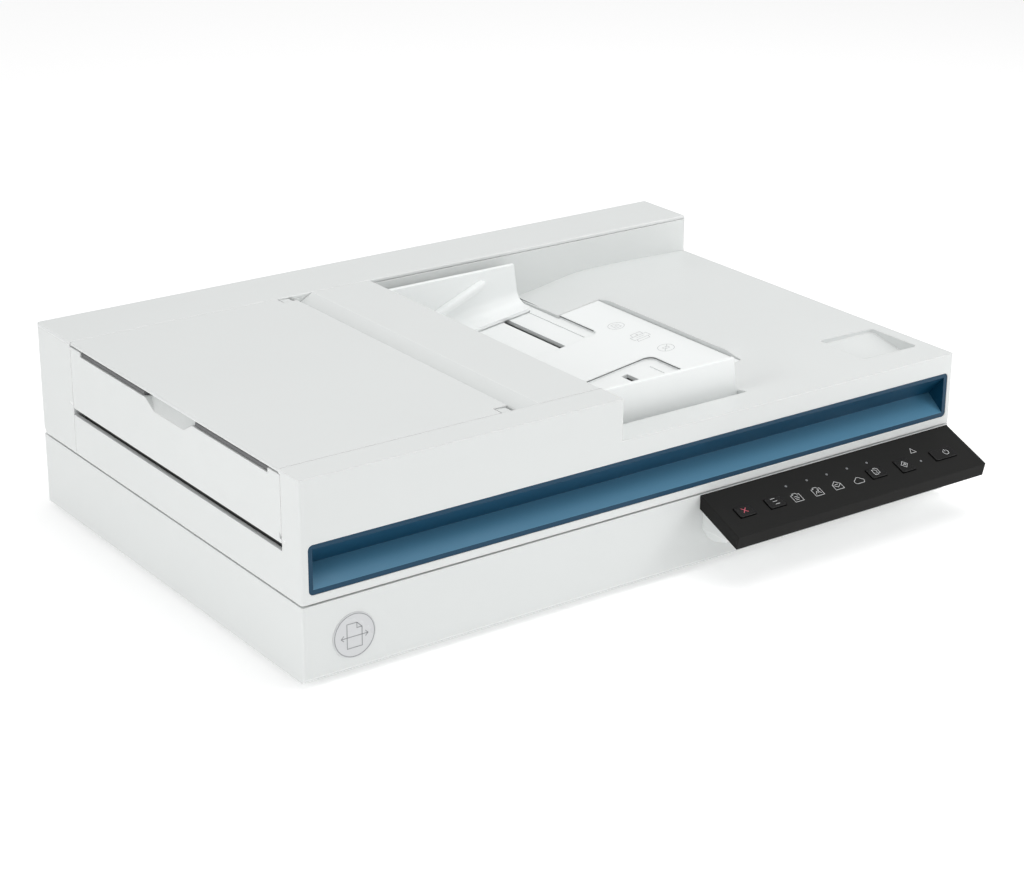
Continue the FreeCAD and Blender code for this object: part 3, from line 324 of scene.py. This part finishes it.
INKS = {
    "mark_grey": plain_material("mark_grey", (0.62, 0.63, 0.63), 0.5)[0],
    "mark_red": plain_material("mark_red", (0.66, 0.11, 0.16), 0.5)[0],
    "mould_line": plain_material("mould_line", (0.50, 0.51, 0.51), 0.5)[0],
    # The dark grey of the pocket gaps is painted shade.
    "gap_shade": plain_material("gap_shade", (0.11, 0.112, 0.115), 0.6)[0],
    "badge_line": plain_material("badge_line", (0.30, 0.31, 0.32), 0.4)[0],
    "port_line": plain_material("port_line", (0.20, 0.205, 0.21), 0.5)[0],
    "label_foil": moulded("label_foil", (0.50, 0.51, 0.52), (0.56, 0.57, 0.58), 0.4),
}


def dress_frame():
    """Finish of each CAD node, by its material slot, with a lighter copy of the case white, painted
    light, on the tray and its guides.
    """
    for part in frame["record"]["subparts"]:
        node = frame["nodes"][part["node"]]
        finish = PAINTED_LIGHT_FINISH.get(part["node"], FINISHES[part["material_slot"]])
        for slot in node.material_slots:
            slot.material = finish
        if not node.material_slots:
            node.data.materials.append(finish)


# Strokes and pieces. From here on, sizes are in millimetres.

def arc(x, y, radius, start, end, steps=24):
    """Points on an arc from one angle to another, in degrees."""
    turns = [radians(start + (end - start) * i / steps) for i in range(steps + 1)]
    return [(x + radius * cos(t), y + radius * sin(t)) for t in turns]


def ring(x, y, radius, steps):
    return arc(x, y, radius, 0, 360, steps)


def loop(*points):
    return [*points, points[0]]


def rectangle(x0, y0, x1, y1):
    return loop((x0, y0), (x1, y0), (x1, y1), (x0, y1))


def level(y, x0, x1):
    """Stroke along X at one y."""
    return [(x0, y), (x1, y)]


def heading(a, b):
    return Vector((b[0] - a[0], b[1] - a[1])).normalized()


def sides(points, width):
    """Points left and right of a stroke, mitred at its corners, and whether it is closed."""
    closed = points[0] == points[-1]
    run = points[:-1] if closed else points
    count = len(run)
    left = []
    right = []
    for i, (x, y) in enumerate(run):
        before = run[i - 1] if i or closed else None
        after = run[(i + 1) % count] if i < count - 1 or closed else None
        arrive = heading(before, run[i]) if before else heading(run[i], after)
        leave = heading(run[i], after) if after else arrive
        across = Vector((-arrive.y - leave.y, arrive.x + leave.x)).normalized()
        reach = 0.5 * width / max(0.4, across.dot(Vector((-arrive.y, arrive.x))))
        left.append((x + across.x * reach, y + across.y * reach))
        right.append((x - across.x * reach, y - across.y * reach))
    return left, right, closed


def stroke_faces(points, width, height, start):
    """Vertices and faces of one raised stroke, with its vertices numbered from start."""
    left, right, closed = sides(points, width)
    verts = []
    for (lx, ly), (rx, ry) in zip(left, right):
        verts += [(lx, ly, 0.0), (lx, ly, height), (rx, ry, height), (rx, ry, 0.0)]
    count = len(left)
    faces = []
    for i in range(count if closed else count - 1):
        a = start + 4 * i
        b = start + 4 * ((i + 1) % count)
        faces += [(a + j, b + j, b + j + 1, a + j + 1) for j in range(3)]
    if not closed:
        last = start + 4 * (count - 1)
        faces += [(start, start + 1, start + 2, start + 3), (last + 3, last + 2, last + 1, last)]
    return verts, faces


def prism(outline):
    """Faces of a prism, where one end's points are numbered first and the other end's next."""
    count = len(outline)
    walls = [(i, (i + 1) % count, count + (i + 1) % count, count + i) for i in range(count)]
    return [tuple(range(count))[::-1], tuple(range(count, 2 * count)), *walls]


def add_piece(name, verts, faces, place, material, body):
    mesh = bpy.data.meshes.new(name)
    mesh.from_pydata([(x * MM, y * MM, z * MM) for x, y, z in verts], [], faces)
    mesh.materials.append(material)
    obj = bpy.data.objects.new(name, mesh)
    obj.matrix_world = place
    bpy.context.scene.collection.objects.link(obj)
    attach(obj, body)


def add_mark(name, strokes, place, ink, body, width=0.3, height=0.06):
    """Piece made of raised strokes of one width and height."""
    verts = []
    faces = []
    for points in strokes:
        new_verts, new_faces = stroke_faces(points, width, height, len(verts))
        verts += new_verts
        faces += new_faces
    add_piece(name, verts, faces, place, INKS[ink], body)


def box_middle(node):
    low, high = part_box(node)
    return (low + high) / 2


# Marks on the panel and its keys

PANEL_ANGLE = atan2(14.0, 34.5)
KEY_RISE = 0.9
ICON_SCALE = 1.12

PAGE = loop((-2.8, -2.9), (2.8, -2.9), (2.8, 2.0), (1.6, 2.0), (0.9, 2.9), (-1.3, 2.9), (-1.3, 2.0),
            (-2.8, 2.0))
WRITING = [level(0.7, -1.5, 1.5), level(-0.4, -1.5, 1.5), level(-1.5, -1.5, 0.6)]
HILLS = [(-1.8, -1.7), (-0.5, 0.2), (0.3, -0.9), (0.9, -0.2), (1.8, -1.7)]
SUN = ring(1.1, 0.8, 0.4, 12)
ENVELOPE = loop((-2.8, -2.7), (2.8, -2.7), (2.8, 0.9), (0, 3.1), (-2.8, 0.9))
FLAP = [(-2.8, 0.9), (0, -1.1), (2.8, 0.9)]
CLOUD = (arc(2.0, -0.5, 1.4, -90, 60, 10) + arc(0.3, 0.4, 1.9, 15, 150, 12)
         + arc(-1.8, -0.5, 1.4, 110, 270, 10) + [(2.0, -1.9)])
TRIANGLE = loop((0, 1.9), (-1.9, -1.4), (1.9, -1.4))
PANEL_MARKS = (
    # name, distance from the lid's left, distance down the slope, strokes
    ("list_page_mark", 319.3, 21.3, [PAGE, *WRITING]),
    ("picture_page_mark", 335.0, 21.4, [PAGE, HILLS, SUN]),
    ("mail_mark", 350.7, 21.4, [ENVELOPE, FLAP, level(0.9, -1.2, 1.2)]),
    ("cloud_mark", 366.8, 22.4, [CLOUD]),
    ("notice_mark", 418.7, 12.2, [TRIANGLE]),
)

CROSS = [[(-1.7, -1.7), (1.7, 1.7)], [(-1.7, 1.7), (1.7, -1.7)]]
STEPPED_LINES = [level(2.2, -2.0, 1.2), level(0, -1.6, 1.6), level(-2.2, -1.2, 2.0)]
TWO_PAGES = [loop((-2.2, -2.2), (0.5, -2.2), (0.5, 0.9), (-0.6, 1.9), (-2.2, 1.9)),
             [(-0.6, 2.9), (0.9, 2.9), (2.1, 1.8), (2.1, -1.4), (1.4, -1.4)],
             level(-1.1, -1.3, -0.3)]
DIAMOND_ARROW = [loop((0, 2.5), (-2.5, 0), (0, -2.5), (2.5, 0)), level(0, -1.1, 1.1),
                 [(0.2, 0.9), (1.1, 0), (0.2, -0.9)]]
POWER_SIGN = [arc(0, -0.2, 1.9, 125, 415), [(0, 0.3), (0, 2.3)]]
KEY_MARKS = (
    # name, key, shift to the right, ink, stroke width, strokes
    ("cancel_mark", "cancel_key", 0.0, "mark_red", 0.4, CROSS),
    ("job_mark", "job_key", 0.0, "mark_grey", 0.3, STEPPED_LINES),
    ("duplex_mark", "duplex_key", 0.0, "mark_grey", 0.3, TWO_PAGES),
    ("start_mark", "start_key", 0.0, "mark_grey", 0.3, DIAMOND_ARROW),
    ("power_mark", "power_key", 2.6, "mark_grey", 0.32, POWER_SIGN),
)


def on_panel(x, down, rise=0.0):
    """Place on the sloping panel: x in metres, and millimetres down the slope and above it."""
    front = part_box("lid_shell")[0].y
    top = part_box("panel_cover")[1].z
    slope = Matrix.Rotation(PANEL_ANGLE, 4, "X")
    return Matrix.Translation((x, front, top)) @ slope @ Matrix.Translation((0, -down * MM, rise * MM))


def enlarged(strokes):
    return [[(ICON_SCALE * x, ICON_SCALE * y) for x, y in points] for points in strokes]


def add_panel_marks():
    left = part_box("lid_shell")[0].x
    for name, x, down, strokes in PANEL_MARKS:
        place = on_panel(left + x * MM, down)
        add_mark(name, enlarged(strokes), place, "mark_grey", "base")


def add_key_marks():
    """Marks on the five keys, each as far down the slope as its key's middle."""
    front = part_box("lid_shell")[0].y
    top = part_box("panel_cover")[1].z
    for name, key, shift, ink, width, strokes in KEY_MARKS:
        middle = box_middle(key)
        down = ((front - middle.y) * cos(PANEL_ANGLE) + (top - middle.z) * sin(PANEL_ANGLE)) / MM
        place = on_panel(middle.x + shift * MM, down, KEY_RISE)
        add_mark(name, strokes, place, ink, key, width=width)


# Pictograms on the tray, and painted shade for the dark gaps at the edges of the two pockets that the
# guides slide in

TRAY_ANGLE = radians(8.0)
TRAY_THICK = 4.4
PICTOGRAM_X = 331.0
SHEET_IN_RING = [ring(0, 0, 5.2, 40),
                 loop((-2.2, -2.8), (-2.2, 2.8), (1.1, 2.8), (2.2, 1.7), (2.2, -2.8)),
                 level(0.6, -1.1, 1.1), level(-0.8, -1.1, 1.1)]
SHEET_STACK = [rectangle(-6.2, -3.0, 6.2, 1.8), loop((-4.0, 1.8), (-3.0, 5.6), (4.4, 5.6), (4.0, 1.8)),
               [(-4.4, -3.0), (-5.4, -5.8), (3.6, -5.8), (4.4, -3.0)], level(-0.6, -3.2, 3.2),
               [(0.4, 4.6), (0.4, 2.6), (-0.5, 3.5)]]
STRUCK_CLIP = [ring(0, 0, 5.2, 40), [(-3.7, -3.7), (3.7, 3.7)], rectangle(-1.9, -1.3, 1.9, 1.3)]
TRAY_MARKS = (
    # name, distance from the lid's front, strokes
    ("tray_sheet_mark", 167.0, SHEET_IN_RING),
    ("tray_stack_mark", 143.0, SHEET_STACK),
    ("tray_stop_mark", 117.0, STRUCK_CLIP),
)

# The gaps' own X runs up the tray from POCKET_X, and their Y is the distance from the lid's front
POCKET_X = 317.0
POCKET_RIGHT = 0.8
POCKET_CORNER = 6.0
FRONT_POCKET_START = 33.0
FRONT_POCKET_END = 115.8
FRONT_GAP_LEFT = -92.0
REAR_POCKET_DEPTH = 91.0
REAR_GAP_CLEARANCE = 2.0
GAP_INSET = 0.11
GAP_WIDTH = 0.1
GAP_HEIGHT = 0.6
GAP_SUNK = 0.95


def on_tray(x, y):
    """Place on the sloping tray, in millimetres from the lid's left and front."""
    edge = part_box("lid_shell")[0]
    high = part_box("input_tray")[1]
    top_right = high.x - TRAY_THICK * MM * sin(TRAY_ANGLE)
    across = edge.x + x * MM
    z = high.z - (top_right - across) * tan(TRAY_ANGLE)
    return Matrix.Translation((across, edge.y + y * MM, z)) @ Matrix.Rotation(-TRAY_ANGLE, 4, "Y")


def add_tray_marks():
    for name, y, strokes in TRAY_MARKS:
        place = on_tray(PICTOGRAM_X, y)
        add_mark(name, strokes, place, "mould_line", "lid", height=0.05)


def add_pocket_gap_shades():
    """Thin dark walls of painted shade just inside each pocket's right edge, and round the front one's
    corner.
    """
    right = POCKET_RIGHT - GAP_INSET
    middle_x = POCKET_RIGHT - POCKET_CORNER
    middle_y = FRONT_POCKET_END - POCKET_CORNER
    turn = arc(middle_x, middle_y, POCKET_CORNER - GAP_INSET, 0, 90, 10)
    front_gap = [(right, FRONT_POCKET_START), *turn, (FRONT_GAP_LEFT, FRONT_POCKET_END - GAP_INSET)]
    rear_wall = (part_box("rear_housing")[0].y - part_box("lid_shell")[0].y) / MM
    rear_start = rear_wall - REAR_GAP_CLEARANCE
    rear_end = rear_wall - REAR_POCKET_DEPTH + POCKET_CORNER
    rear_gap = [(right, rear_start), (right, rear_end)]
    sunk = on_tray(POCKET_X, 0) @ Matrix.Translation((0, 0, -GAP_SUNK * MM))
    for name, points in (("front_pocket_gap_shade", front_gap), ("rear_pocket_gap_shade", rear_gap)):
        add_mark(name, [points], sunk, "gap_shade", "lid", GAP_WIDTH, GAP_HEIGHT)


# Badge on the base's front, marks over the two sockets, and the label underneath

BADGE_MARK = [ring(0, 0, 12.2, 72), loop((-4.6, -7.0), (4.6, -7.0), (4.6, 3.9), (1.5, 7.0), (-4.6, 7.0)),
              [(1.5, 7.0), (1.5, 3.9), (4.6, 3.9)], level(-0.6, -8.2, 8.2),
              [(-6.6, 1.0), (-8.2, -0.6), (-6.6, -2.2)], [(6.6, 1.0), (8.2, -0.6), (6.6, -2.2)]]
POWER_PLUG = [arc(0, 0, 2.6, 20, 340, 30), ring(0, 0, 0.6, 12), level(0, 0.6, 4.4)]
DATA_PLUG = [rectangle(-1.6, -1.4, 1.6, 1.4), level(0, 1.6, 4.4),
             [(-1.6, 0.7), (-3.2, 0.7), (-3.2, -0.7), (-1.6, -0.7)]]
PORT_MARKS = (
    ("power_port_mark", "power_socket", POWER_PLUG),
    ("data_port_mark", "usb_socket", DATA_PLUG),
)
PORT_MARK_RISE = 9.0
UPRIGHT = Matrix.Rotation(pi / 2, 4, "X")

LABEL_WIDTH = 84.0
LABEL_DEPTH = 46.0
LABEL_CORNER = 2.5
LABEL_THICK = 0.12
LABEL_BORDER = rectangle(-39, -20, 39, 20)
LABEL_LINES = [level(y, -34, end) for y, end in ((13, 2), (8, 14), (3, 8), (-2, 12), (-7, -4))]
LABEL_WINDOW = [rectangle(20, -14, 34, 0), level(-7, 20, 34), [(27, -14), (27, 0)]]


def add_badge_mark():
    middle = box_middle("front_badge")
    place = Matrix.Translation((middle.x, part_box("front_badge")[0].y, middle.z)) @ UPRIGHT
    add_mark("badge_mark", BADGE_MARK, place, "badge_line", "base", width=0.45, height=0.08)


def add_port_marks():
    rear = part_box("base_shell")[1].y
    turn = Matrix.Rotation(pi, 4, "Z") @ UPRIGHT
    for name, socket, strokes in PORT_MARKS:
        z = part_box(socket)[1].z + PORT_MARK_RISE * MM
        place = Matrix.Translation((box_middle(socket).x, rear, z)) @ turn
        add_mark(name, strokes, place, "port_line", "base", width=0.4)


def add_label():
    """Label with round corners under the base, with lines and a small window in place of words."""
    under = Matrix.Translation((0, 0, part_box("base_shell")[0].z)) @ Matrix.Rotation(pi, 4, "X")
    rim = []
    for sx, sy, start in ((1, 1, 0), (-1, 1, 90), (-1, -1, 180), (1, -1, 270)):
        x = sx * (LABEL_WIDTH / 2 - LABEL_CORNER)
        y = sy * (LABEL_DEPTH / 2 - LABEL_CORNER)
        rim += arc(x, y, LABEL_CORNER, start, start + 90, 8)
    verts = [(x, y, z) for z in (0.0, LABEL_THICK) for x, y in rim]
    add_piece("underside_label", verts, prism(rim), under, INKS["label_foil"], "base")
    raised = under @ Matrix.Translation((0, 0, LABEL_THICK * MM))
    strokes = [LABEL_BORDER, *LABEL_LINES, *LABEL_WINDOW]
    name = "underside_label_marks"
    add_mark(name, strokes, raised, "port_line", "base", width=0.5, height=0.03)


# Grey sheets of painted shade behind the exit door's two slots and the gap under it, with outlines in X
# and Z from the door's edge

TOP_SLOT_SHADE = [(2.5, -8.5), (2.5, -2.55), (1.1, -2.55), (0.9, -2.35), (0.9, -0.4), (1.4, 0.2), (3.1, 0.2),
             (3.5, -0.2), (3.5, -8.5)]
SILL_SLOT_SHADE = [(4.7, -6.0), (4.7, -0.4), (5.1, 0.2), (6.0, 0.2), (6.4, -0.4), (6.4, -6.0)]
FRONT_SLOT = (31.3, 109.1)
REAR_SLOT = (167.3, 244.7)
DOOR_SPAN = (21.0, 253.0)


def add_slot_shade(name, outline, span, height, body):
    """Sheet of painted shade over a span behind the lid's front, with its outline measured up from a
    height in metres.
    """
    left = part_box("exit_door")[0].x / MM
    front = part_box("lid_shell")[0].y / MM
    verts = [(left + x, front + y, height / MM + z) for y in span for x, z in outline]
    faces = [face[::-1] for face in prism(outline)]
    add_piece(name, verts, faces, Matrix.Identity(4), SLOT_SHADE_GREY, body)


def add_door_slot_shades():
    """Two sheets of painted shade hook over the door's top edge beside its scoop, and one lies behind the
    gap under it.
    """
    low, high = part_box("exit_door")
    add_slot_shade("door_slot_shade_front", TOP_SLOT_SHADE, FRONT_SLOT, high.z, "exit_door")
    add_slot_shade("door_slot_shade_rear", TOP_SLOT_SHADE, REAR_SLOT, high.z, "exit_door")
    add_slot_shade("door_sill_shade", SILL_SLOT_SHADE, DOOR_SPAN, low.z, "lid")


add_camera()
add_studio()
add_floor()
dress_frame()
add_panel_marks()
add_key_marks()
add_tray_marks()
add_pocket_gap_shades()
add_badge_mark()
add_port_marks()
add_label()
add_door_slot_shades()
